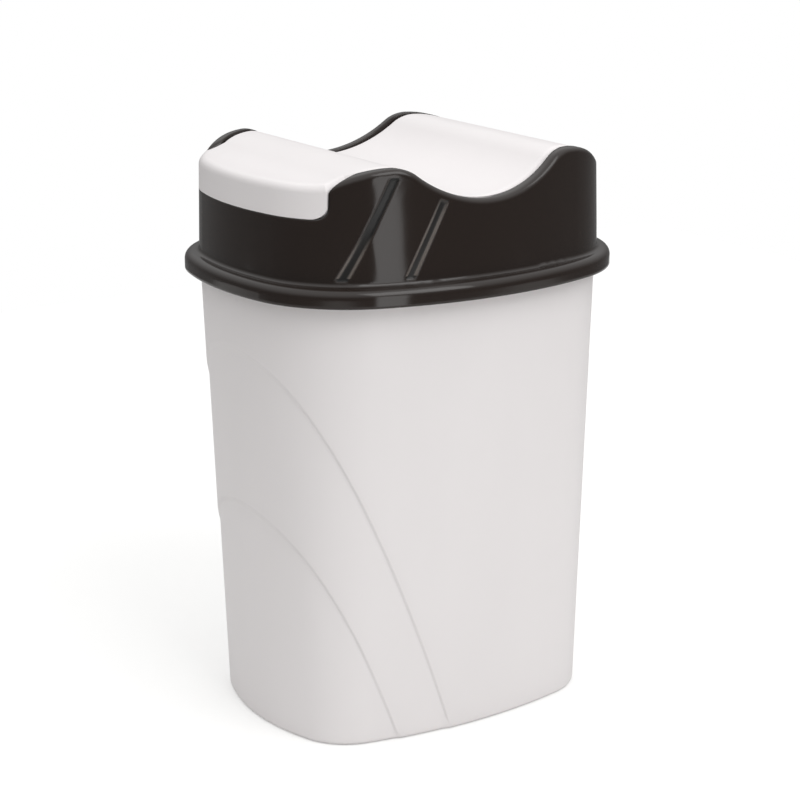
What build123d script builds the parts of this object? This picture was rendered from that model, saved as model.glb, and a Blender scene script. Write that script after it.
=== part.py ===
from build123d import *
from math import asin, cos, degrees, radians, sin, sqrt
import os

# Rocker-lid kitchen bin: a tapered bucket, a collar that sits over its rim, and a wave-shaped lid
# that turns on two stub pins between the collar's cheeks. Millimetres, +Z up, front faces -Y,
# origin at the middle of the base on the floor.

# Plan outlines: bowed sides and ends joined by tangent corner arcs
# order: half width, half length, side radius, end radius, corner radius, setback of the front end
RIM_OUTLINE = (121.0, 141.1, 267.6, 231.0, 78.0, 0.0)
BASE_OUTLINE = (100.1, 130.7, 391.0, 167.0, 48.4, 0.0)
FRONT_SETBACK = 1.4
WALL_OUTLINE = RIM_OUTLINE[:5] + (FRONT_SETBACK,)

# Heights
RIM_TOP = 340.6
BAND_LOW = 330.0
WALL_FOOT = 343.0
FRONT_WALL_TOP = 388.4
DIP_TOP = 396.5
REAR_TOP = 399.6
ABOVE_ALL = 470.0
FAR = 200.0
WINDOW_Y = -80.0

# Bucket
BUCKET_WALL = 2.0
TAPER_LEVELS = 3
FLOOR_THICKNESS = 2.6
FOOT_RECESS = 2.4
FOOT_WIDTH = 9.0
FOOT_EDGE_RADIUS = 3.0
MOUTH_INSET = 1.9
RIM_THICKNESS = 2.2
RIM_TURN_DEPTH = 6.5
RIM_TURN_WALL = 1.8
RIM_EDGE_RADIUS = 4.0
RIM_CLEARANCE = 0.9
RELIEF_STEP = 1.3
RELIEF_ARCS = (
    ((-15.5, -10.0), (-80.0, 160.0), (-150.0, 308.0)),
    ((-57.0, -10.0), (-100.0, 97.0), (-150.0, 195.0)),
)

# Collar
COLLAR_WALL = 2.2
COLLAR_DRAFT = 1.84 / 70.0
BAND_OVERHANG = 9.6
BAND_SHOULDER_RADIUS = 6.0
BAND_INNER_RADIUS = 2.5
WALL_FOOT_RADIUS = 3.0
BAND_EDGE_RADIUS = 0.9
SKIRT_THICKNESS = 1.8
SKIRT_CLEARANCE = 0.6
SKIRT_LOW = 327.0
BORDER_WIDTH = 9.0
BORDER_THICKNESS = 2.5
BORDER_EDGE_RADIUS = 4.0
CURTAIN_THICKNESS = 1.8
CURTAIN_LOW = 372.0
GROOVE_WIDTH = 6.0
GROOVE_DEPTH = 1.0
GROOVE_LEAN = 26.6
GROOVE_Y = (-92.5, -49.5)
GROOVE_HEIGHT = 372.0
GROOVE_FOOT_GAP = 4.0
GROOVE_TOP_GAP = 6.5

# Wave along the cheeks, from the bottom of the dip over the crests to both ends
DIP_Y = 1.3
DIP_RADIUS = 88.0
FRONT_REACH = 55.0
REAR_REACH = 56.0
CREST_RADIUS = 26.0
FRONT_FLANK_RADIUS = 76.0
REAR_FLANK_RADIUS = 64.0
FLANK_SLOPE = 30.0
TAIL_RADIUS = 30.0

# Lid
NOTCH_HALF_WIDTH = 89.3
NOTCH_CORNER_RADIUS = 7.8
NOTCH_TOP_RADIUS = 4.0
LID_DROP = 0.3
LID_THICKNESS = 2.2
PANEL_GAP = 1.6
SWEEP_GAP = 0.8
LIP_GAP = 0.9
LIP_BACK_Y = -94.0
LID_LOW = 370.0
LID_EDGE_RADIUS = 6.0
LID_SKIRT_DEPTH = 9.0
LID_REAR_FLANK_RADIUS = 62.0
LID_FRONT_TOP = 411.5
LID_FRONT_SLOPE = 21.0
LID_FRONT_RADIUS = 50.0

# Hinge
HINGE_Y = 30.0
HINGE_Z = 389.5
PIN_RADIUS = 3.2
PIN_CLEARANCE = 0.07
PIN_END = 113.0
PIN_END_CLEARANCE = 0.4
BOSS_RADIUS = 6.4
EAR_RADIUS = 6.5
EAR_FACE = 106.5
EAR_THICKNESS = 2.4


def inset(sizes, distance):
    """Outline sizes of the parallel outline that lies a distance inside; the setback stays."""
    return tuple(size - distance for size in sizes[:5]) + sizes[5:]


OPENING = inset(WALL_OUTLINE, BORDER_WIDTH + COLLAR_DRAFT * (DIP_TOP - WALL_FOOT))


def corner_points(sizes, setback):
    """Tangent points and middle of a corner arc, as it lies in the +X +Y quarter."""
    half_x, half_y, side_r, end_r, corner_r = sizes[:5]
    half_y -= setback
    side_c = Vector(half_x - side_r, 0)
    end_c = Vector(0, half_y - end_r)
    reach_side = side_r - corner_r
    reach_end = end_r - corner_r
    between = end_c - side_c
    gap = between.length
    along = (reach_side**2 - reach_end**2 + gap**2) / (2 * gap)
    across = sqrt(reach_side**2 - along**2)
    unit = between / gap
    centre = side_c + unit * along + Vector(unit.Y, -unit.X) * across
    if centre.Y < 0:
        centre = side_c + unit * along - Vector(unit.Y, -unit.X) * across
    on_side = centre + (centre - side_c).normalized() * corner_r
    on_end = centre + (centre - end_c).normalized() * corner_r
    middle = centre + ((on_side + on_end) * 0.5 - centre).normalized() * corner_r
    return on_side, middle, on_end


def outline_face(sizes, height):
    """Closed plan outline as a face at a height."""
    edges = []
    side_ends = []
    for sy, setback in ((1, 0), (-1, sizes[5])):
        on_side, middle, on_end = corner_points(sizes, setback)
        side_ends.append((on_side.X, on_side.Y * sy))
        for sx in (1, -1):
            low, through, high = [(p.X * sx, p.Y * sy) for p in (on_side, middle, on_end)]
            edges.append(ThreePointArc(low, through, high))
        tip = (0, (sizes[1] - setback) * sy)
        edges.append(ThreePointArc((-on_end.X, on_end.Y * sy), tip, (on_end.X, on_end.Y * sy)))
    for sx in (1, -1):
        rear, front = [(x * sx, y) for x, y in side_ends]
        edges.append(ThreePointArc(rear, (sizes[0] * sx, 0), front))
    wire = Wire.combine(edges)[0]
    return Pos(0, 0, height) * Face(wire)


def column(sizes, low, high):
    """Upright prism of an outline."""
    return extrude(outline_face(sizes, low), high - low)


def tapered(low_sizes, low, high_sizes, high):
    """Straight-sided taper from one outline to another."""
    return loft([outline_face(low_sizes, low), outline_face(high_sizes, high)], ruled=True)


def drafted(distance, low, high):
    """Collar wall form, inset by a distance, with its draft."""
    low_sizes = inset(WALL_OUTLINE, distance + COLLAR_DRAFT * (low - WALL_FOOT))
    high_sizes = inset(WALL_OUTLINE, distance + COLLAR_DRAFT * (high - WALL_FOOT))
    return tapered(low_sizes, low, high_sizes, high)


def prism_x(edges):
    """Solid between a closed YZ profile's walls, right across the bin."""
    wire = Wire.combine(edges)[0]
    return extrude(Face(wire), amount=300, both=True)


def yz(y, z):
    return (0, y, z)


def arc_step(point, heading, new_heading, radius, sign):
    """Tangent arc in the YZ plane from one heading to another; sign mirrors it towards -Y."""
    turn = 1 if new_heading > heading else -1
    middle_heading = (heading + new_heading) / 2

    def reached(angle):
        dy = turn * radius * (sin(radians(angle)) - sin(radians(heading)))
        dz = turn * radius * (cos(radians(heading)) - cos(radians(angle)))
        return (point[0] + sign * dy, point[1] + dz)

    middle = reached(middle_heading)
    end = reached(new_heading)
    return ThreePointArc(yz(*point), yz(*middle), yz(*end)), end


def half_wave(sign, drop, reach, flank_radius, slope, tail_radius, end_z):
    """Wave from the bottom of the dip to one end, lowered by a parallel drop."""
    dip_r = DIP_RADIUS + drop
    rise_angle = degrees(asin(reach / DIP_RADIUS))
    point = (DIP_Y, DIP_TOP - drop)
    dip, point = arc_step(point, 0, rise_angle, dip_r, sign)
    crest, point = arc_step(point, rise_angle, 0, CREST_RADIUS - drop, sign)
    flank, point = arc_step(point, 0, -slope, flank_radius - drop, sign)
    tail_r = tail_radius + drop
    fall = point[1] - end_z - tail_r * (1 - cos(radians(slope)))
    length = fall / sin(radians(slope))
    low = (point[0] + sign * length * cos(radians(slope)), point[1] - fall)
    straight = Line(yz(*point), yz(*low))
    tail, point = arc_step(low, -slope, 0, tail_r, sign)
    end = (sign * FAR, end_z)
    flat = Line(yz(*point), yz(*end))
    return [dip, crest, flank, straight, tail, flat], end


def below_wave(rear, front):
    """Everything under a wave made of a rear half and a front half."""
    rear_edges, rear_end = half_wave(1, *rear)
    front_edges, front_end = half_wave(-1, *front)
    rear_foot = (rear_end[0], 0.0)
    front_foot = (front_end[0], 0.0)
    frame_edges = [
        Line(yz(*rear_end), yz(*rear_foot)),
        Line(yz(*rear_foot), yz(*front_foot)),
        Line(yz(*front_foot), yz(*front_end)),
    ]
    return prism_x(rear_edges + front_edges + frame_edges)


def collar_wave(drop):
    """The collar's top surface, or one that lies a parallel distance below it."""
    rear = (drop, REAR_REACH, REAR_FLANK_RADIUS, FLANK_SLOPE, TAIL_RADIUS, REAR_TOP - drop)
    front = (drop, FRONT_REACH, FRONT_FLANK_RADIUS, FLANK_SLOPE, TAIL_RADIUS, REAR_TOP - drop)
    return below_wave(rear, front)


def lid_wave(drop):
    """The lid's top surface, or one that lies a parallel distance below it."""
    total = LID_DROP + drop
    rear = (total, REAR_REACH, LID_REAR_FLANK_RADIUS, FLANK_SLOPE, TAIL_RADIUS, REAR_TOP - total)
    front = (total, FRONT_REACH, FRONT_FLANK_RADIUS, LID_FRONT_SLOPE, LID_FRONT_RADIUS, LID_FRONT_TOP - drop)
    return below_wave(rear, front)


def slab(low, high):
    """Wide flat block between two heights."""
    return Pos(0, 0, (low + high) / 2) * Box(2 * FAR, 2 * FAR, high - low)


def front_window(half_width, low, corner_radius, back_y=WINDOW_Y):
    """Block in front of the bin, open upwards, with rounded lower corners."""
    height = ABOVE_ALL - low
    sketch = Plane.XZ * Pos(0, low + height / 2) * RectangleRounded(2 * half_width, height, corner_radius)
    return Pos(0, back_y, 0) * extrude(sketch, amount=FAR)


def bucket_sizes(distance, height):
    """Bucket outline at a height, inset by a distance."""
    mouth = inset(RIM_OUTLINE, MOUTH_INSET)
    share = height / BAND_LOW
    sizes = tuple(b + (m - b) * share for b, m in zip(BASE_OUTLINE, mouth))
    return inset(sizes, distance)


def bucket_form(distance):
    """Tapered bucket form from the floor to the rim, inset by a distance."""
    heights = [RIM_TOP * level / TAPER_LEVELS for level in range(TAPER_LEVELS + 1)]
    return loft([outline_face(bucket_sizes(distance, height), height) for height in heights])


def relief_region(foot, middle, top, shift):
    """Everything in front of and below an arc that sweeps down the bucket's side."""
    start = (foot[0] + shift, foot[1])
    through = (middle[0] + shift, middle[1])
    end = (top[0] + shift, top[1])
    corner_low = (-FAR, start[1])
    corner_high = (-FAR, end[1])
    edges = [
        ThreePointArc(yz(*start), yz(*through), yz(*end)),
        Line(yz(*end), yz(*corner_high)),
        Line(yz(*corner_high), yz(*corner_low)),
        Line(yz(*corner_low), yz(*start)),
    ]
    return prism_x(edges)


def stepped(form, shift, form_at):
    """Bucket form set back in two steps in front of the relief arcs."""
    for count, arc in enumerate(RELIEF_ARCS, start=1):
        form -= relief_region(*arc, shift) - form_at(count * RELIEF_STEP)
    return form


def bucket_outside(distance):
    form = bucket_form(distance)
    return fillet(form.edges().group_by(Axis.Z)[0], FOOT_EDGE_RADIUS)


def bucket_inside(distance):
    return bucket_form(BUCKET_WALL + distance) - slab(0, FOOT_RECESS + FLOOR_THICKNESS)


def is_cheek_end(edge):
    """Top edge of the window's side, where a cheek ends."""
    middle = edge @ 0.5
    long_enough = abs((edge @ 0).Y - (edge @ 1).Y) > NOTCH_TOP_RADIUS
    return abs(abs(middle.X) - NOTCH_HALF_WIDTH) < 0.01 and middle.Z > DIP_TOP and long_enough


def rounded_shoulder(form, distance, radius):
    """Wall form that lies a distance inside, with the outer edge round its top rounded."""
    inside = drafted(distance + radius / 10, RIM_TOP, ABOVE_ALL)
    high = [edge for edge in form.edges() if edge.bounding_box().min.Z > FRONT_WALL_TOP]
    outer = [edge for edge in high if edge.geom_type != GeomType.LINE and not inside.is_inside(edge @ 0.5)]
    return fillet(outer, radius)


def is_wall_foot(edge):
    """Edge where the collar wall meets the top of the band."""
    box = edge.bounding_box()
    level = abs(box.min.Z - WALL_FOOT) < 0.01 and abs(box.max.Z - WALL_FOOT) < 0.01
    return level and column(inset(WALL_OUTLINE, -1), BAND_LOW, ABOVE_ALL).is_inside(edge @ 0.5)


def groove(middle_y):
    """Leaning band right across the bin, from above the wall's foot to below the border."""
    lean = sin(radians(GROOVE_LEAN)) / cos(radians(GROOVE_LEAN))
    low = WALL_FOOT + GROOVE_FOOT_GAP
    high = ABOVE_ALL
    corners = []
    for height, sign in ((low, -1), (low, 1), (high, 1), (high, -1)):
        corners.append(yz(middle_y + lean * (height - GROOVE_HEIGHT) + sign * GROOVE_WIDTH / 2, height))
    edges = [Line(corners[i], corners[(i + 1) % 4]) for i in range(4)]
    return prism_x(edges) & collar_wave(GROOVE_TOP_GAP)


def is_crosswise(edge):
    return edge.geom_type == GeomType.LINE and abs((edge @ 1).X - (edge @ 0).X) > 0.01


def rounded_top(form, offset):
    """Lid form with its top's outer edge rounded, leaving out the crosswise seams."""
    below = lid_wave(offset + LID_THICKNESS / 2)
    high = [edge for edge in form.edges() if not below.is_inside(edge @ 0.5)]
    return fillet([edge for edge in high if not is_crosswise(edge)], LID_EDGE_RADIUS - offset)


def hinge_sweep(offset):
    """Room for the lid: all of the front, and what can turn within the opening behind the hinge."""
    half = outline_face(inset(OPENING, SWEEP_GAP + offset), HINGE_Z)
    half -= Pos(0, HINGE_Y - FAR, HINGE_Z) * Rectangle(2 * FAR, 2 * FAR)
    barrel = revolve(half, Axis((0, HINGE_Y, HINGE_Z), (1, 0, 0)), 360)
    return barrel + Pos(0, HINGE_Y - FAR, HINGE_Z) * Box(2 * FAR, 2 * FAR, FAR)


def lid_form(offset):
    """Lid form, shrunk by an offset: rounded panel with a lip; the shrunk one is open below."""
    top = lid_wave(offset)
    panel = column(inset(OPENING, PANEL_GAP + offset), LID_LOW, ABOVE_ALL) & top
    panel = rounded_top(panel, offset)
    lip_low = LID_LOW
    lip_back = WINDOW_Y
    if offset == 0:
        panel -= lid_wave(LID_SKIRT_DEPTH)
        lip_low = FRONT_WALL_TOP
        lip_back = LIP_BACK_Y
    lip = front_window(NOTCH_HALF_WIDTH - LIP_GAP - offset, lip_low, NOTCH_CORNER_RADIUS + LIP_GAP, lip_back)
    lip &= drafted(offset, LID_LOW, ABOVE_ALL) & top
    return (panel + rounded_top(lip, offset)) & hinge_sweep(offset)


# Bucket: stepped outside, rolled rim, hollow with the same steps, recessed foot
bucket = stepped(bucket_outside(0), 0, bucket_outside)
rim_sizes = inset(RIM_OUTLINE, -(BAND_OVERHANG - COLLAR_WALL - RIM_CLEARANCE))
rim = column(rim_sizes, RIM_TOP - RIM_TURN_DEPTH, RIM_TOP)
rim = fillet(rim.edges().group_by(Axis.Z)[-1], RIM_EDGE_RADIUS)
rim -= column(inset(rim_sizes, RIM_TURN_WALL), 0, RIM_TOP - RIM_THICKNESS)
bucket += rim
bucket -= stepped(bucket_inside(0), BUCKET_WALL, bucket_inside)
bucket -= column(inset(BASE_OUTLINE, FOOT_WIDTH), 0, FOOT_RECESS)

# Collar: the wall under the wave, with a soft shoulder all the way round
wall = rounded_shoulder(drafted(0, RIM_TOP, ABOVE_ALL) & collar_wave(0), 0, BORDER_EDGE_RADIUS)

# Window for the lip, with the cheek ends rounded where they rise from it
around = column(inset(WALL_OUTLINE, -BORDER_WIDTH), RIM_TOP, ABOVE_ALL) & collar_wave(0)
around -= front_window(NOTCH_HALF_WIDTH, FRONT_WALL_TOP, NOTCH_CORNER_RADIUS)
wall &= fillet(around.edges().filter_by(is_cheek_end), NOTCH_TOP_RADIUS)

# Slanted grooves on both sides
for groove_y in GROOVE_Y:
    wall -= groove(groove_y) - drafted(GROOVE_DEPTH, RIM_TOP, ABOVE_ALL)

# Band over the bucket's rim, with a soft shoulder and a fillet at the foot of the wall
band_sizes = inset(RIM_OUTLINE, -BAND_OVERHANG)
band = column(band_sizes, BAND_LOW, WALL_FOOT)
band = fillet(band.edges().group_by(Axis.Z)[-1], BAND_SHOULDER_RADIUS)
band = fillet(band.edges().group_by(Axis.Z)[0], BAND_EDGE_RADIUS)
rim_room = column(inset(band_sizes, COLLAR_WALL), 0, RIM_TOP)
band -= fillet(rim_room.edges().group_by(Axis.Z)[-1], BAND_INNER_RADIUS)
collar = wall + band
foot_edges = [edge for edge in collar.edges() if is_wall_foot(edge)]
collar = fillet(foot_edges, WALL_FOOT_RADIUS)

# Hollow under the border, leaving the curtain wall round the opening
hollow = drafted(COLLAR_WALL, WALL_FOOT, ABOVE_ALL) & collar_wave(BORDER_THICKNESS)
hollow = rounded_shoulder(hollow, COLLAR_WALL, BORDER_EDGE_RADIUS - COLLAR_WALL)
ledge = FRONT_WALL_TOP - BORDER_THICKNESS
hollow -= front_window(NOTCH_HALF_WIDTH + BORDER_THICKNESS, ledge, NOTCH_CORNER_RADIUS + BORDER_THICKNESS)
hollow -= column(inset(OPENING, -CURTAIN_THICKNESS), CURTAIN_LOW, ABOVE_ALL)
collar -= hollow

# Hinge bosses between the curtain and the wall, and the skirt inside the bucket's mouth
bosses = Pos(0, HINGE_Y, HINGE_Z) * Rot(0, 90, 0) * Cylinder(BOSS_RADIUS, 2 * FAR)
collar += bosses & drafted(COLLAR_WALL / 2, CURTAIN_LOW, ABOVE_ALL)
skirt_sizes = inset(RIM_OUTLINE, MOUTH_INSET + BUCKET_WALL + SKIRT_CLEARANCE)
collar += column(skirt_sizes, SKIRT_LOW, RIM_TOP)
collar -= column(inset(skirt_sizes, SKIRT_THICKNESS), 0, CURTAIN_LOW)
collar -= column(OPENING, RIM_TOP, ABOVE_ALL)
bore_reach = PIN_END + PIN_END_CLEARANCE
collar -= Pos(0, HINGE_Y, HINGE_Z) * Rot(0, 90, 0) * Cylinder(PIN_RADIUS + PIN_CLEARANCE, 2 * bore_reach)

# Lid: rounded shell with side skirts and a front lip
lid = lid_form(0) - lid_form(LID_THICKNESS)
ear = Rot(0, 90, 0) * Cylinder(EAR_RADIUS, EAR_THICKNESS)
pin = Rot(0, 90, 0) * Cylinder(PIN_RADIUS, PIN_END - EAR_FACE)
for side in (1, -1):
    lid += Pos(side * (EAR_FACE - EAR_THICKNESS / 2), HINGE_Y, HINGE_Z) * ear
    lid += Pos(side * (EAR_FACE + PIN_END) / 2, HINGE_Y, HINGE_Z) * pin

os.makedirs("parts", exist_ok=True)
for name, solid in (("bucket", bucket), ("collar", collar), ("lid", lid)):
    export_step(solid, os.path.join("parts", name + ".step"))
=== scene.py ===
import math
from collections import namedtuple

import bmesh
import bpy
import numpy as np
from mathutils import Matrix, Vector


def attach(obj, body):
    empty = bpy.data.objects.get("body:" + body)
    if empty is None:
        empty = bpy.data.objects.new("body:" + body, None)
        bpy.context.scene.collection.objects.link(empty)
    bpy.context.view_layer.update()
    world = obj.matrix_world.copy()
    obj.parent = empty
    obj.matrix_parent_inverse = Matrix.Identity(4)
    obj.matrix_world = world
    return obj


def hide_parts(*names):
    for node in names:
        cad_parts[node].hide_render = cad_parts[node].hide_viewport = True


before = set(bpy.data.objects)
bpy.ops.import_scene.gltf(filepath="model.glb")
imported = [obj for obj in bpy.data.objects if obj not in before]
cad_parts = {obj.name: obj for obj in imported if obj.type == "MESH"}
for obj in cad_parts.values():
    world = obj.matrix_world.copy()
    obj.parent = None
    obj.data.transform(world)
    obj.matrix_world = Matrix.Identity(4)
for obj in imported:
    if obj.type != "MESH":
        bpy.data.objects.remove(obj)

bl_info = {
    "name": "Rocker Lid Bin",
    "version": (1, 0, 0),
    "blender": (4, 5, 0),
    "location": "View3D > Sidebar > Bin",
    "description": "Finishes a moulded kitchen bin around its packed frame",
    "category": "Object",
}

# Lengths are in metres; the bin stands on z = 0 with its front towards -Y
MM = 0.001

# Plan outlines of the bucket: an arc along each side, one at each end and one round each corner
Outline = namedtuple("Outline", "half_width half_length side_radius end_radius corner_radius")
FOOT_OUTLINE = Outline(
    half_width=0.1001, half_length=0.1307, side_radius=0.3910, end_radius=0.1670, corner_radius=0.0484)
MOUTH_OUTLINE = Outline(
    half_width=0.1191, half_length=0.1392, side_radius=0.2657, end_radius=0.2291, corner_radius=0.0761)
# Points that measure the way round an outline
OUTLINE_SAMPLES = 7201

# Section of the bucket
MOUTH_HEIGHT = 0.3300
RIM_TOP = 0.3406
RIM_REACH = 0.0084
RIM_TURN_DEPTH = 0.0065
RIM_TURN_WALL = 0.0018
RIM_THICKNESS = 0.0022
RIM_EDGE_RADIUS = 0.0040
FOOT_EDGE_RADIUS = 0.0030
FOOT_FLAT = 0.0010
FOOT_RECESS = 0.0024
FOOT_WIDTH = 0.0090
FLOOR_TOP = 0.0050

# Relief arcs on the bucket's sides, each through three points of the YZ plane
HIGH_ARC = ((-0.0155, -0.0100), (-0.0800, 0.1600), (-0.1500, 0.3080))
LOW_ARC = ((-0.0570, -0.0100), (-0.1000, 0.0970), (-0.1500, 0.1950))
ARC_COUNT = 2
ARC_ROUNDS = 20

# Rows of faces up the wall, between the relief arcs and across each, and round a quarter turn
OUTER_PLAIN_ROWS = 22
OUTER_STEP_ROWS = 6
INNER_PLAIN_ROWS = 8
INNER_STEP_ROWS = 4
TURN_ROWS = 6
# Rings of the underside and of the floor inside, as shares of the outline's size
UNDERSIDE_RINGS = (0.0, 0.5)
FLOOR_RINGS = (0.97, 0.5, 0.0)
MERGE_DISTANCE = 0.02 * MM
SHARP_ANGLE = math.radians(35)

# Two leaning grooves in each side of the collar, the front one first: where their middle lines lie
# along the side at one height, and how high their floors begin and end
GROOVE_MIDDLES = (-0.0925, -0.0495)
GROOVE_HEIGHT = 0.372
GROOVE_LEAN = math.tan(math.radians(26.6))
GROOVE_HALF = 0.0030
GROOVE_FOOT = 0.3470
GROOVE_TOPS = (0.4160, 0.3985)
FLOOR_FADE = 0.1 * MM
FLOOR_DULLNESS = 0.25

# Painted highlight beside the grooves: a light grey colour along their edges, on the front groove only low
# down
PAINTED_HIGHLIGHT_REACH = 1.5 * MM
PAINTED_HIGHLIGHT_FOOT_GAP = 2.0 * MM
PAINTED_HIGHLIGHT_TOPS = (0.3780, 0.4020)
PAINTED_HIGHLIGHT_FADE = 16.0 * MM
# Cosine of the turn from the plain normal to the rounded one where an edge's painted highlight begins and is
# full
PAINTED_HIGHLIGHT_BEGINS = 1.0
PAINTED_HIGHLIGHT_FULL = 0.88

# Marks of the moulding, at their real sizes
FLOW_MARK = 62.5 * MM
FLOW_STRETCH = (1.0, 1.0, 0.35)
RUBBED_PATCH = 22.222 * MM
GLOSS_SPREAD = 0.1
MOULD_GRAIN = 0.5556 * MM
GRAIN_STRENGTH = 0.15
EDGE_SAMPLES = 12
POLYPROPYLENE_IOR = 1.49
WHITE_NAME = "Moulded polypropylene white"
DARK_NAME = "Moulded polypropylene dark"

# Studio: angles in degrees, and azimuths turn from the bin's front towards +X
STUDIO_WHITE = "#FFFFFF"
FLOOR_REACH = 1.3
DOME_TOP = 0.9
KEY_SIZE = (1.4, 1.4)
KEY_AZIMUTH = 98.0
KEY_ELEVATION = 50.0
KEY_DISTANCE = 2.4
KEY_AIM = Vector((0.0, 0.0, 0.25))
STRIP_SIZE = (0.225, 0.50)
STRIP_AZIMUTH = 82.3
STRIP_DISTANCE = 0.95
STRIP_AIM = Vector((0.0, 0.0, 0.30))
LENS = 93.37
SENSOR = 36.0
SHIFT_X = 0.002
CAMERA_DISTANCE = 1.5549
CAMERA_TARGET = Vector((0.0, 0.0, 0.2248))
CAMERA_AZIMUTH = 57.7305
CAMERA_ELEVATION = 16.1711
CAMERA_ROLL = -0.2914


# Materials

def linear(code):
    """sRGB hex colour as linear RGBA."""
    parts = [int(code[i:i + 2], 16) / 255 for i in (1, 3, 5)]
    return [p / 12.92 if p <= 0.04045 else ((p + 0.055) / 1.055) ** 2.4 for p in parts] + [1.0]


def add_node(tree, kind, settings=None, inputs=None):
    """Adds a node and sets its properties; each input takes a plain value or another node's socket."""
    node = tree.nodes.new(kind)
    for key, value in (settings or {}).items():
        setattr(node, key, value)
    for key, value in (inputs or {}).items():
        if isinstance(value, bpy.types.NodeSocket):
            tree.links.new(value, node.inputs[key])
        else:
            node.inputs[key].default_value = value
    return node


def new_material(name):
    """Empty node material and its tree."""
    material = bpy.data.materials.new(name)
    material.use_nodes = True
    material.node_tree.nodes.clear()
    return material, material.node_tree


def groove_zone(tree, place, half, foot, tops, fade):
    """Socket that is 1 within a half width of each groove's middle line, from the foot up, and falls
    to 0 over the fade below each top."""
    across = add_node(tree, "ShaderNodeVectorMath", {"operation": "DOT_PRODUCT"},
                      {0: place, 1: (0.0, 1.0, -GROOVE_LEAN)}).outputs["Value"]
    height = add_node(tree, "ShaderNodeSeparateXYZ", inputs={0: place}).outputs["Z"]
    above_foot = add_node(tree, "ShaderNodeMath", {"operation": "GREATER_THAN"},
                          {0: height, 1: foot}).outputs[0]
    zone = 0.0
    for middle, top in zip(GROOVE_MIDDLES, tops):
        beside = add_node(tree, "ShaderNodeMath", {"operation": "COMPARE"},
                          {0: across, 1: middle - GROOVE_LEAN * GROOVE_HEIGHT, 2: half}).outputs[0]
        faded = add_node(tree, "ShaderNodeMapRange", inputs={
            "Value": height, "From Min": top - fade, "From Max": top,
            "To Min": above_foot, "To Max": 0.0}).outputs["Result"]
        zone = add_node(tree, "ShaderNodeMath", {"operation": "MULTIPLY_ADD"},
                        {0: beside, 1: faded, 2: zone}).outputs[0]
    return zone


def moulded_polypropylene(name, colour, mottled, roughness, grain_depth, edge_radius, painted_light_and_gloss=None):
    """Injection-moulded polypropylene: one even colour with faint flow mottling, a soft gloss that
    varies a little, a fine grain left by the mould, and edges that are never quite sharp.
    A painted light and gloss step, where given, takes the colour's and the roughness's sockets and gives
    back changed ones, with painted shade and painted highlights in the colour."""
    material, tree = new_material(name)
    place = add_node(tree, "ShaderNodeTexCoord").outputs["Object"]
    # Flow marks some 60 mm across and about three times as high, as the melt runs up the mould
    stretched = add_node(tree, "ShaderNodeMapping", inputs={"Vector": place, "Scale": FLOW_STRETCH})
    flow = add_node(tree, "ShaderNodeTexNoise", inputs={
        "Vector": stretched.outputs[0], "Scale": 1 / FLOW_MARK, "Detail": 3.0})
    tint = add_node(tree, "ShaderNodeMix", {"data_type": "RGBA"},
                    {"Factor": flow.outputs["Fac"], "A": colour, "B": mottled}).outputs["Result"]
    # Rubbed and less rubbed patches differ slightly in gloss
    rubbed = add_node(tree, "ShaderNodeTexNoise", inputs={
        "Vector": place, "Scale": 1 / RUBBED_PATCH, "Detail": 4.0})
    sheen = add_node(tree, "ShaderNodeMapRange", inputs={
        "Value": rubbed.outputs["Fac"], "To Min": roughness * (1 - GLOSS_SPREAD),
        "To Max": roughness * (1 + GLOSS_SPREAD)}).outputs["Result"]
    # Mould grain of about half a millimetre, coarser than the real one so that it shows at all
    grain = add_node(tree, "ShaderNodeTexNoise", inputs={
        "Vector": place, "Scale": 1 / MOULD_GRAIN, "Detail": 1.0})
    rounded = add_node(tree, "ShaderNodeBevel", {"samples": EDGE_SAMPLES},
                       {"Radius": edge_radius}).outputs["Normal"]
    bump = add_node(tree, "ShaderNodeBump", inputs={
        "Strength": GRAIN_STRENGTH, "Distance": grain_depth,
        "Height": grain.outputs["Fac"], "Normal": rounded})
    # Painted shade and painted highlights, where given, go into the colour here; the roughness may change
    # too
    if painted_light_and_gloss:
        tint, sheen = painted_light_and_gloss(tree, place, rounded, tint, sheen)
    shader = add_node(tree, "ShaderNodeBsdfPrincipled", inputs={
        "IOR": POLYPROPYLENE_IOR, "Base Color": tint, "Roughness": sheen,
        "Normal": bump.outputs["Normal"]})
    add_node(tree, "ShaderNodeOutputMaterial", inputs={"Surface": shader.outputs[0]})
    return material


def white_plastic(look):
    """White polypropylene with a satin gloss, as mass-coloured granulate gives it; made once."""
    return bpy.data.materials.get(WHITE_NAME) or moulded_polypropylene(
        WHITE_NAME, look.white, look.white_mottled, look.white_roughness,
        grain_depth=0.05 * MM, edge_radius=0.4 * MM)


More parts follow.
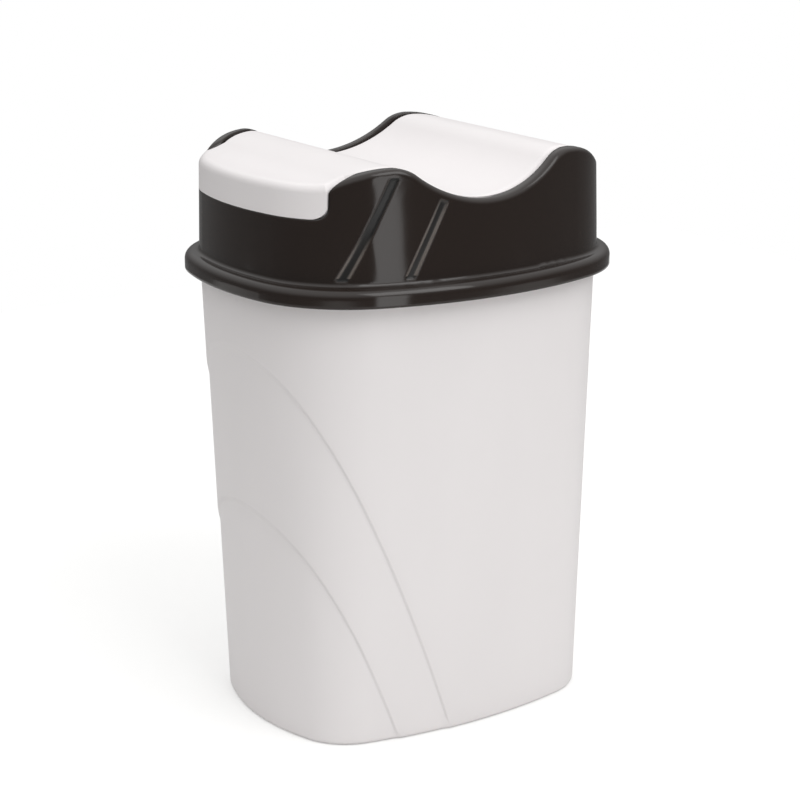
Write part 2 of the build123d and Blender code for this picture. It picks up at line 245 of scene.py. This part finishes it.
def dark_plastic(look):
    """Brown-black polypropylene from a polished mould: glossy walls, groove floors that are duller
    and carry painted shade, and a painted highlight in light grey along the groove edges."""
    def grooves(tree, place, rounded, tint, sheen):
        floors = groove_zone(tree, place, GROOVE_HALF, GROOVE_FOOT, GROOVE_TOPS, FLOOR_FADE)
        dull = add_node(tree, "ShaderNodeMath", {"operation": "MULTIPLY_ADD"},
                        {0: floors, 1: FLOOR_DULLNESS, 2: sheen}).outputs[0]
        # Painted shade: the groove floors' colour goes towards near black, standing in for the light that
        # they don't reflect
        painted_shade = add_node(tree, "ShaderNodeMix", {"data_type": "RGBA"},
                        {"Factor": floors, "A": tint, "B": look.groove_painted_shade}).outputs["Result"]
        # An edge is where the rounded normal leaves the plain one
        plain = add_node(tree, "ShaderNodeNewGeometry").outputs["Normal"]
        turn = add_node(tree, "ShaderNodeVectorMath", {"operation": "DOT_PRODUCT"},
                        {0: rounded, 1: plain}).outputs["Value"]
        edges = add_node(tree, "ShaderNodeMapRange", inputs={
            "Value": turn, "From Min": PAINTED_HIGHLIGHT_BEGINS, "From Max": PAINTED_HIGHLIGHT_FULL}).outputs["Result"]
        beside = groove_zone(tree, place, GROOVE_HALF + PAINTED_HIGHLIGHT_REACH, GROOVE_FOOT + PAINTED_HIGHLIGHT_FOOT_GAP,
                             PAINTED_HIGHLIGHT_TOPS, PAINTED_HIGHLIGHT_FADE)
        painted_highlight = add_node(tree, "ShaderNodeMath", {"operation": "MULTIPLY"},
                        {0: edges, 1: beside}).outputs[0]
        # Painted highlight: the groove edges' colour is lifted to light grey, as if they caught the light
        painted_shade_and_highlight = add_node(tree, "ShaderNodeMix", {"data_type": "RGBA"},
                        {"Factor": painted_highlight, "A": painted_shade, "B": look.groove_painted_highlight}).outputs["Result"]
        return painted_shade_and_highlight, dull

    return moulded_polypropylene(
        DARK_NAME, look.dark, look.dark_mottled, look.dark_roughness,
        grain_depth=0.02 * MM, edge_radius=2.6 * MM, painted_light_and_gloss=grooves)


def set_material(obj, material):
    """Gives an object one material in place of those that it has."""
    obj.data.materials.clear()
    obj.data.materials.append(material)


# Bucket

def outline(sizes, angles):
    """Points of a plan outline at the directions that it faces."""
    side = np.array([sizes.half_width - sizes.side_radius, 0.0])
    end = np.array([0.0, sizes.half_length - sizes.end_radius])
    # The corner's centre lies where its arc runs smoothly into the side's and the end's
    reach_side = sizes.side_radius - sizes.corner_radius
    reach_end = sizes.end_radius - sizes.corner_radius
    gap = math.hypot(*(end - side))
    unit = (end - side) / gap
    along = (reach_side**2 - reach_end**2 + gap**2) / (2 * gap)
    across = math.sqrt(reach_side**2 - along**2)
    corner = side + unit * along + np.array([-unit[1], unit[0]]) * across
    side_limit = math.atan2(corner[1], corner[0] - side[0])
    end_limit = math.atan2(corner[1] - end[1], corner[0])
    facing = np.stack([np.cos(angles), np.sin(angles)], axis=1)
    folded = np.arctan2(abs(facing[:, 1]), abs(facing[:, 0]))[:, None]
    on_side, on_corner = folded < side_limit, folded < end_limit
    centre = np.where(on_side, side, np.where(on_corner, corner, end))
    radius = np.where(on_side, sizes.side_radius, np.where(on_corner, sizes.corner_radius, sizes.end_radius))
    return np.sign(facing) * (centre + radius * abs(facing))


def even_angles(count):
    """Facing directions that lie at even distances along the mouth."""
    fine = np.linspace(0, 2 * math.pi, OUTLINE_SAMPLES)
    lengths = np.hypot(*np.diff(outline(MOUTH_OUTLINE, fine), axis=0).T)
    travelled = np.concatenate([[0.0], np.cumsum(lengths)])
    return np.interp(np.linspace(0, travelled[-1], count, endpoint=False), travelled, fine)


def circle_through(points):
    """Centre and radius of the circle through three points."""
    (ax, ay), (bx, by), (cx, cy) = points
    turn = 2 * (ax * (by - cy) + bx * (cy - ay) + cx * (ay - by))
    a2, b2, c2 = ax**2 + ay**2, bx**2 + by**2, cx**2 + cy**2
    x = (a2 * (by - cy) + b2 * (cy - ay) + c2 * (ay - by)) / turn
    y = (a2 * (cx - bx) + b2 * (ax - cx) + c2 * (bx - ax)) / turn
    return x, y, math.hypot(ax - x, ay - y)


def arc_heights(arc, foot, mouth, lowest):
    """Height at which a relief arc crosses each column of the bucket's wall."""
    y0, z0, radius = circle_through(arc)
    height = np.full(len(foot), lowest)
    # The wall leans out, so each round takes Y from the height of the round before
    for _ in range(ARC_ROUNDS):
        y = foot[:, 1] + (mouth[:, 1] - foot[:, 1]) * height / MOUTH_HEIGHT
        height = z0 + np.sqrt(np.clip(radius**2 - (y - y0)**2, 0, None))
        height = np.clip(height, lowest, MOUTH_HEIGHT)
    return height


def section_row(height, inward=0.0, steps=ARC_COUNT, inner=0, arcs=(0.0, 0.0),
                scale=1.0, upright=0.0, lowest=0.0):
    """One row of the bucket's section, as the three vectors that the node tree reads: inset, relief
    steps and inner face; shares of the low and high arc and height; scale, upright and lowest."""
    return (inward, steps, inner), (*arcs, height), (scale, upright, lowest)


def wall_rows(step_width, inner, top, plain_rows, step_rows):
    """Rows up one face of the wall: level between the relief arcs, and easing across each arc."""
    lowest = FLOOR_TOP if inner else FOOT_EDGE_RADIUS
    half = step_width / 2
    # Each stop is a height and the shares of the low and high arc that are added to it
    stops = ((lowest, 0, 0), (-half, 1, 0), (half, 1, 0), (-half, 0, 1), (half, 0, 1), (top, 0, 0))
    rows = []
    for span, (below, above) in enumerate(zip(stops, stops[1:])):
        crosses_arc = span % 2 == 1
        count = step_rows if crosses_arc else plain_rows
        for i in range(count):
            t = i / count
            height, low_share, high_share = [a + (b - a) * t for a, b in zip(below, above)]
            eased = t * t * (3 - 2 * t) if crosses_arc else 0.0
            rows.append(section_row(height, steps=ARC_COUNT - span // 2 - eased, inner=inner,
                                    arcs=(low_share, high_share), lowest=lowest))
    rows.append(section_row(top, steps=0, inner=inner, lowest=lowest))
    return rows


def bucket_rows(step_width):
    """All rows of the bucket's section, from the middle of its underside round to the middle of its
    floor."""
    rows = [section_row(FOOT_RECESS, FOOT_WIDTH, scale=scale) for scale in UNDERSIDE_RINGS]
    rows.append(section_row(FOOT_RECESS, FOOT_WIDTH))
    rows.append(section_row(0.0, FOOT_WIDTH))
    rows.append(section_row(0.0, FOOT_EDGE_RADIUS + FOOT_FLAT))
    for i in range(TURN_ROWS):
        angle = math.pi / 2 * i / TURN_ROWS
        rows.append(section_row(
            FOOT_EDGE_RADIUS * (1 - math.cos(angle)), FOOT_EDGE_RADIUS * (1 - math.sin(angle))))
    under = RIM_TOP - RIM_THICKNESS
    turn = RIM_TOP - RIM_TURN_DEPTH
    rows += wall_rows(step_width, 0, under, OUTER_PLAIN_ROWS, OUTER_STEP_ROWS)
    for height, outward in (
        (under, RIM_REACH - RIM_TURN_WALL),
        (turn, RIM_REACH - RIM_TURN_WALL),
        (turn, RIM_REACH),
    ):
        rows.append(section_row(height, -outward, steps=0, upright=1.0))
    for i in range(TURN_ROWS + 1):
        angle = math.pi / 2 * i / TURN_ROWS
        outward = RIM_REACH - RIM_EDGE_RADIUS * (1 - math.cos(angle))
        height = RIM_TOP - RIM_EDGE_RADIUS * (1 - math.sin(angle))
        rows.append(section_row(height, -outward, steps=0, upright=1.0))
    rows += wall_rows(step_width, 1, RIM_TOP, INNER_PLAIN_ROWS, INNER_STEP_ROWS)[::-1]
    rows += [section_row(FLOOR_TOP, inner=1, scale=scale) for scale in FLOOR_RINGS]
    return rows


def bucket_rule(columns, step_width):
    """Mesh of loose points that holds the bucket's outlines, one point for each column, and then its
    section, one point for each row, for the node tree. Returns it and the number of rows."""
    angles = even_angles(columns)
    foot, mouth = outline(FOOT_OUTLINE, angles), outline(MOUTH_OUTLINE, angles)
    lowest = FOOT_EDGE_RADIUS - step_width / 2
    low = arc_heights(LOW_ARC, foot, mouth, lowest)
    high = arc_heights(HIGH_ARC, foot, mouth, lowest)
    # A column meets as many relief steps as arcs cross it above the foot
    steps = (low > FOOT_EDGE_RADIUS).astype(float) + (high > FOOT_EDGE_RADIUS)
    inward = -np.stack([np.cos(angles), np.sin(angles)], axis=1)
    flat = np.zeros(columns)
    ones = np.ones(columns)
    insets, shares, limits = [np.array(part) for part in zip(*bucket_rows(step_width))]
    by_column = {
        "mouth": np.column_stack([mouth, flat]),
        "inward": np.column_stack([inward, flat]),
        "arcs": np.column_stack([low, high, ones]),
        "most": np.column_stack([ones, steps, ones]),
    }
    by_row = {"shares": shares, "limits": limits}
    mesh = bpy.data.meshes.new("bucket_rule")
    mesh.from_pydata(np.concatenate([np.column_stack([foot, flat]), insets]).tolist(), [], [])
    attributes = {name: (values, np.zeros_like(insets)) for name, values in by_column.items()}
    attributes.update({name: (np.zeros((columns, 3)), values) for name, values in by_row.items()})
    for name, parts in attributes.items():
        layer = mesh.attributes.new(name, "FLOAT_VECTOR", "POINT")
        layer.data.foreach_set("vector", np.concatenate(parts).ravel())
    return mesh, len(insets)


def bucket_tree(material):
    """Node tree that lays a grid over the bucket: columns round the outline, rows along its section.
    Returns it and the identifiers of its named inputs."""
    tree = bpy.data.node_groups.new("Bucket by rule", "GeometryNodeTree")
    face = tree.interface
    face.new_socket("Geometry", in_out="INPUT", socket_type="NodeSocketGeometry")
    sizes = {}
    for name in ("Columns", "Rows"):
        sizes[name] = face.new_socket(name, in_out="INPUT", socket_type="NodeSocketInt").identifier
    for name in ("Mouth Height", "Wall", "Step Depth"):
        sizes[name] = face.new_socket(name, in_out="INPUT", socket_type="NodeSocketFloat").identifier
    face.new_socket("Geometry", in_out="OUTPUT", socket_type="NodeSocketGeometry")
    given = add_node(tree, "NodeGroupInput").outputs
    around = add_node(tree, "ShaderNodeMath", inputs={0: given["Columns"], 1: 1.0}).outputs[0]
    grid = add_node(tree, "GeometryNodeMeshGrid", inputs={
        "Vertices X": around, "Vertices Y": given["Rows"]})
    # The rule mesh holds the columns first, then the rows; the grid's last column is its first again
    index = add_node(tree, "GeometryNodeInputIndex").outputs[0]
    ring = add_node(tree, "FunctionNodeIntegerMath", {"operation": "DIVIDE_FLOOR"},
                    {0: index, 1: given["Rows"]}).outputs[0]
    column = add_node(tree, "FunctionNodeIntegerMath", {"operation": "MODULO"},
                      {0: ring, 1: given["Columns"]}).outputs[0]
    level = add_node(tree, "FunctionNodeIntegerMath", {"operation": "MODULO"},
                     {0: index, 1: given["Rows"]}).outputs[0]
    row = add_node(tree, "FunctionNodeIntegerMath", {"operation": "ADD"},
                   {0: level, 1: given["Columns"]}).outputs[0]
    position = add_node(tree, "GeometryNodeInputPosition").outputs[0]

    def sampled(name, where):
        """The rule mesh's attribute, or without a name its position, at an index."""
        source = position
        if name:
            source = add_node(tree, "GeometryNodeInputNamedAttribute", {"data_type": "FLOAT_VECTOR"},
                              {"Name": name}).outputs[0]
        return add_node(tree, "GeometryNodeSampleIndex", {"data_type": "FLOAT_VECTOR"},
                        {"Geometry": given["Geometry"], "Value": source, "Index": where}).outputs[0]

    # Height: the constant and the shares of the two arcs, never under the row's lowest
    limits = add_node(tree, "ShaderNodeSeparateXYZ", inputs={0: sampled("limits", row)}).outputs
    summed = add_node(tree, "ShaderNodeVectorMath", {"operation": "DOT_PRODUCT"},
                      {0: sampled("shares", row), 1: sampled("arcs", column)}).outputs["Value"]
    height = add_node(tree, "ShaderNodeMath", {"operation": "MAXIMUM"},
                      {0: summed, 1: limits["Z"]}).outputs[0]
    # The outline grows from the foot's to the mouth's, and an upright row keeps the mouth's
    share = add_node(tree, "ShaderNodeMapRange", {"clamp": False}, {
        "Value": height, "From Max": given["Mouth Height"], "To Min": limits["Y"], "To Max": 1.0})
    spot = add_node(tree, "ShaderNodeMix", {"data_type": "VECTOR", "clamp_factor": False}, {
        "Factor": share.outputs[0], "A": sampled("", column), "B": sampled("mouth", column)})
    # Inset: the row's own, its relief steps and, on the inner face, the wall
    parts = add_node(tree, "ShaderNodeVectorMath", {"operation": "MINIMUM"},
                     {0: sampled("", row), 1: sampled("most", column)}).outputs[0]
    depths = add_node(tree, "ShaderNodeCombineXYZ", inputs={
        "X": 1.0, "Y": given["Step Depth"], "Z": given["Wall"]}).outputs[0]
    inset = add_node(tree, "ShaderNodeVectorMath", {"operation": "DOT_PRODUCT"},
                     {0: parts, 1: depths}).outputs["Value"]
    moved = add_node(tree, "ShaderNodeVectorMath", {"operation": "MULTIPLY_ADD"},
                     {0: sampled("inward", column), 1: inset, 2: spot.outputs["Result"]}).outputs[0]
    lift = add_node(tree, "ShaderNodeCombineXYZ", inputs={"Z": height}).outputs[0]
    final = add_node(tree, "ShaderNodeVectorMath", {"operation": "MULTIPLY_ADD"},
                     {0: moved, 1: limits["X"], 2: lift}).outputs[0]
    placed = add_node(tree, "GeometryNodeSetPosition", inputs={
        "Geometry": grid.outputs["Mesh"], "Position": final})
    merged = add_node(tree, "GeometryNodeMergeByDistance", inputs={
        "Geometry": placed.outputs[0], "Distance": MERGE_DISTANCE})
    real = add_node(tree, "GeometryNodeRealizeInstances", inputs={"Geometry": merged.outputs[0]})
    finished = add_node(tree, "GeometryNodeSetMaterial", inputs={
        "Geometry": real.outputs[0], "Material": material})
    add_node(tree, "NodeGroupOutput", inputs={"Geometry": finished.outputs[0]})
    return tree, sizes


def plain_mesh(obj, name):
    """Evaluated result of an object's modifiers as a mesh of its own."""
    bpy.context.view_layer.update()
    seen = obj.evaluated_get(bpy.context.evaluated_depsgraph_get())
    mesh = bpy.data.meshes.new_from_object(seen)
    mesh.name = name
    return mesh


def turn_outwards(mesh):
    """Points the faces of a closed mesh outwards."""
    shape = bmesh.new()
    shape.from_mesh(mesh)
    bmesh.ops.recalc_face_normals(shape, faces=shape.faces)
    shape.to_mesh(mesh)
    shape.free()


def link(obj):
    """Adds an object to the scene."""
    bpy.context.scene.collection.objects.link(obj)
    return obj


# Settings

def colour_property(name, description, code):
    """Colour setting whose default is an sRGB hex value."""
    return bpy.props.FloatVectorProperty(
        name=name, description=description, default=linear(code), size=4, min=0.0, max=1.0,
        subtype="COLOR")


class BucketSettings(bpy.types.PropertyGroup):
    """Sizes of the bucket"""
    columns: bpy.props.IntProperty(
        name="Columns", description="Columns of faces round the bucket", default=320, min=48,
        subtype="UNSIGNED")
    wall: bpy.props.FloatProperty(
        name="Wall", description="Wall thickness", default=0.0020, unit="LENGTH")
    step_depth: bpy.props.FloatProperty(
        name="Step Depth", description="Depth of each relief step", default=0.0013, unit="LENGTH")
    step_width: bpy.props.FloatProperty(
        name="Step Width", description="Width over which a relief step eases", default=0.0050,
        unit="LENGTH")


class LookSettings(bpy.types.PropertyGroup):
    """Colours and gloss of the two plastics"""
    white: colour_property("White", "Colour of the bucket and lid", "#EDE9E9")
    white_mottled: colour_property("White Mottled", "Colour of the white's flow marks", "#E8E4E4")
    white_roughness: bpy.props.FloatProperty(
        name="White Roughness", description="Roughness of the white plastic", default=0.42,
        subtype="FACTOR")
    dark: colour_property("Dark", "Colour of the collar", "#251D19")
    dark_mottled: colour_property("Dark Mottled", "Colour of the dark's flow marks", "#221A16")
    # Painted shade: near-black colour put on the groove floors
    groove_painted_shade: colour_property("Groove Painted Shade", "Painted shade on the groove floors", "#080605")
    # Painted highlight: light grey colour put along the groove edges
    groove_painted_highlight: colour_property("Groove Painted Highlight", "Painted highlight along the groove edges", "#776E68")
    dark_roughness: bpy.props.FloatProperty(
        name="Dark Roughness", description="Roughness of the dark plastic", default=0.10,
        subtype="FACTOR")


class StudioSettings(bpy.types.PropertyGroup):
    """Floor and light of the studio"""
    key_power: bpy.props.FloatProperty(
        name="Key", description="Power of the key lamp", default=13.0, unit="POWER")
    strip_power: bpy.props.FloatProperty(
        name="Strip", description="Power of the upright strip lamp", default=0.66, unit="POWER")
    overhead: bpy.props.FloatProperty(
        name="Overhead", description="Light from straight above", default=1.24, soft_max=2.0,
        subtype="FACTOR")
    horizon: bpy.props.FloatProperty(
        name="Horizon", description="Light from the sides", default=0.20, soft_max=2.0,
        subtype="FACTOR")
    floor: colour_property("Floor", "Colour of the floor", "#DADAD9")
    floor_glow: bpy.props.FloatProperty(
        name="Floor Glow", description="Evening out of the floor's white", default=0.31, soft_max=1.0,
        subtype="FACTOR")


# Pieces

class BIN_OT_bucket(bpy.types.Operator):
    """Builds the white bucket from its outlines, section and relief arcs"""
    bl_idname = "bin.bucket"
    bl_label = "Build Bucket"

    def execute(self, context):
        settings = context.scene.bin_bucket
        rule, row_count = bucket_rule(settings.columns, settings.step_width)
        holder = link(bpy.data.objects.new("bucket_holder", rule))
        tree, sizes = bucket_tree(white_plastic(context.scene.bin_look))
        modifier = holder.modifiers.new("Bucket by rule", "NODES")
        modifier.node_group = tree
        modifier[sizes["Columns"]] = settings.columns
        modifier[sizes["Rows"]] = row_count
        modifier[sizes["Mouth Height"]] = MOUTH_HEIGHT
        modifier[sizes["Wall"]] = settings.wall
        modifier[sizes["Step Depth"]] = settings.step_depth
        mesh = plain_mesh(holder, "bucket_moulding")
        bpy.data.objects.remove(holder)
        turn_outwards(mesh)
        mesh.shade_smooth()
        mesh.set_sharp_from_angle(angle=SHARP_ANGLE)
        piece = link(bpy.data.objects.new("bucket_moulding", mesh))
        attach(piece, "bucket_body")
        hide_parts("bucket")
        return {"FINISHED"}


class BIN_OT_collar(bpy.types.Operator):
    """Gives the collar its dark moulded plastic, with painted shade on the groove floors and a painted
    highlight along their edges
    """
    bl_idname = "bin.collar"
    bl_label = "Finish Collar"

    def execute(self, context):
        set_material(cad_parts["collar"], dark_plastic(context.scene.bin_look))
        return {"FINISHED"}


class BIN_OT_lid(bpy.types.Operator):
    """Gives the lid the bucket's white moulded finish"""
    bl_idname = "bin.lid"
    bl_label = "Finish Lid"

    # Gives the lid the bucket's white moulded plastic
    def execute(self, context):
        set_material(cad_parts["lid"], white_plastic(context.scene.bin_look))
        return {"FINISHED"}


# Studio

def direction(azimuth, elevation):
    """Unit vector towards a place seen from the bin; azimuth turns from the front towards +X."""
    az, el = math.radians(azimuth), math.radians(elevation)
    return Vector((math.sin(az) * math.cos(el), -math.cos(az) * math.cos(el), math.sin(el)))


def add_floor(colour, glow):
    """Pale floor that keeps the bin's shadow."""
    mesh = bpy.data.meshes.new("floor")
    reach = FLOOR_REACH
    corners = [(-reach, -reach, 0), (reach, -reach, 0), (reach, reach, 0), (-reach, reach, 0)]
    mesh.from_pydata(corners, [], [(0, 1, 2, 3)])
    material, tree = new_material("Studio floor white")
    plain = add_node(tree, "ShaderNodeBsdfDiffuse", inputs={"Color": colour})
    # Only the camera sees the evening out, so that the floor throws no extra light on the bin
    path = add_node(tree, "ShaderNodeLightPath")
    seen = add_node(tree, "ShaderNodeMath", {"operation": "MULTIPLY"},
                    {0: path.outputs["Is Camera Ray"], 1: glow})
    even = add_node(tree, "ShaderNodeEmission", inputs={
        "Color": linear(STUDIO_WHITE), "Strength": seen.outputs[0]})
    both = add_node(tree, "ShaderNodeAddShader", inputs={0: plain.outputs[0], 1: even.outputs[0]})
    add_node(tree, "ShaderNodeOutputMaterial", inputs={"Surface": both.outputs[0]})
    mesh.materials.append(material)
    link(bpy.data.objects.new("floor", mesh))


def add_world(overhead, horizon):
    """Soft dome, brighter above than at the sides, which the camera sees as plain white."""
    world = bpy.data.worlds.new("Studio")
    bpy.context.scene.world = world
    world.use_nodes = True
    tree = world.node_tree
    tree.nodes.clear()
    coords = add_node(tree, "ShaderNodeTexCoord")
    up = add_node(tree, "ShaderNodeSeparateXYZ", inputs={0: coords.outputs["Generated"]}).outputs["Z"]
    level = add_node(tree, "ShaderNodeMapRange", {"interpolation_type": "SMOOTHSTEP"}, {
        "Value": up, "From Min": 0.0, "From Max": DOME_TOP, "To Min": horizon, "To Max": overhead})
    lit = add_node(tree, "ShaderNodeBackground", inputs={
        "Color": linear(STUDIO_WHITE), "Strength": level.outputs["Result"]})
    shown = add_node(tree, "ShaderNodeBackground", inputs={
        "Color": linear(STUDIO_WHITE), "Strength": 1.0})
    path = add_node(tree, "ShaderNodeLightPath")
    both = add_node(tree, "ShaderNodeMixShader", inputs={
        0: path.outputs["Is Camera Ray"], 1: lit.outputs[0], 2: shown.outputs[0]})
    add_node(tree, "ShaderNodeOutputWorld", inputs={"Surface": both.outputs[0]})


def add_lamp(name, power, size, place, aim):
    """Rectangular lamp that faces a point and that the camera doesn't see."""
    lamp = bpy.data.lights.new(name, "AREA")
    lamp.shape = "RECTANGLE"
    lamp.energy = power
    lamp.size, lamp.size_y = size
    obj = link(bpy.data.objects.new(name, lamp))
    obj.location = place
    obj.rotation_mode = "QUATERNION"
    obj.rotation_quaternion = (place - aim).to_track_quat("Z", "Y")
    obj.visible_camera = False


def add_camera():
    """Camera of the photograph, fitted to the bin's outlines there."""
    back = direction(CAMERA_AZIMUTH, CAMERA_ELEVATION)
    level = direction(CAMERA_AZIMUTH + 90, 0)
    upright = back.cross(level)
    roll = math.radians(CAMERA_ROLL)
    right = level * math.cos(roll) + upright * math.sin(roll)
    up = upright * math.cos(roll) - level * math.sin(roll)
    camera = bpy.data.cameras.new("camera")
    camera.lens = LENS
    camera.sensor_width = SENSOR
    camera.shift_x = SHIFT_X
    obj = link(bpy.data.objects.new("camera", camera))
    obj.location = CAMERA_TARGET + back * CAMERA_DISTANCE
    obj.rotation_mode = "QUATERNION"
    obj.rotation_quaternion = Matrix((right, up, back)).transposed().to_quaternion()
    bpy.context.scene.camera = obj


class BIN_OT_stage(bpy.types.Operator):
    """Sets up the floor, the soft studio light and the camera"""
    bl_idname = "bin.stage"
    bl_label = "Set Up Studio"

    def execute(self, context):
        studio = context.scene.bin_studio
        add_floor(studio.floor, studio.floor_glow)
        add_world(studio.overhead, studio.horizon)
        key_place = direction(KEY_AZIMUTH, KEY_ELEVATION) * KEY_DISTANCE
        strip_place = direction(STRIP_AZIMUTH, 0) * STRIP_DISTANCE + STRIP_AIM
        add_lamp("key", studio.key_power, KEY_SIZE, key_place, KEY_AIM)
        add_lamp("strip", studio.strip_power, STRIP_SIZE, strip_place, STRIP_AIM)
        add_camera()
        context.scene.view_settings.view_transform = "Standard"
        return {"FINISHED"}


class VIEW3D_PT_bin(bpy.types.Panel):
    """Settings of the bin, and the steps that make it"""
    bl_label = "Bin"
    bl_space_type = "VIEW_3D"
    bl_region_type = "UI"
    bl_category = "Bin"

    def draw(self, context):
        layout = self.layout
        for group in (context.scene.bin_bucket, context.scene.bin_look, context.scene.bin_studio):
            box = layout.box()
            for name in type(group).__annotations__:
                box.prop(group, name)
        for operator in OPERATORS:
            layout.operator(operator.bl_idname)


OPERATORS = (BIN_OT_bucket, BIN_OT_collar, BIN_OT_lid, BIN_OT_stage)
CLASSES = (BucketSettings, LookSettings, StudioSettings) + OPERATORS + (VIEW3D_PT_bin,)


def register():
    """Registers the classes and gives the scene its settings."""
    for kind in CLASSES:
        bpy.utils.register_class(kind)
    bpy.types.Scene.bin_bucket = bpy.props.PointerProperty(type=BucketSettings)
    bpy.types.Scene.bin_look = bpy.props.PointerProperty(type=LookSettings)
    bpy.types.Scene.bin_studio = bpy.props.PointerProperty(type=StudioSettings)


def unregister():
    """Takes the settings and the classes away again."""
    for name in ("bin_bucket", "bin_look", "bin_studio"):
        delattr(bpy.types.Scene, name)
    for kind in reversed(CLASSES):
        bpy.utils.unregister_class(kind)


def main():
    """Builds the bin and its studio."""
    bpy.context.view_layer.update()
    register()
    bpy.ops.bin.bucket()
    bpy.ops.bin.collar()
    bpy.ops.bin.lid()
    bpy.ops.bin.stage()


if __name__ == "__main__":
    main()
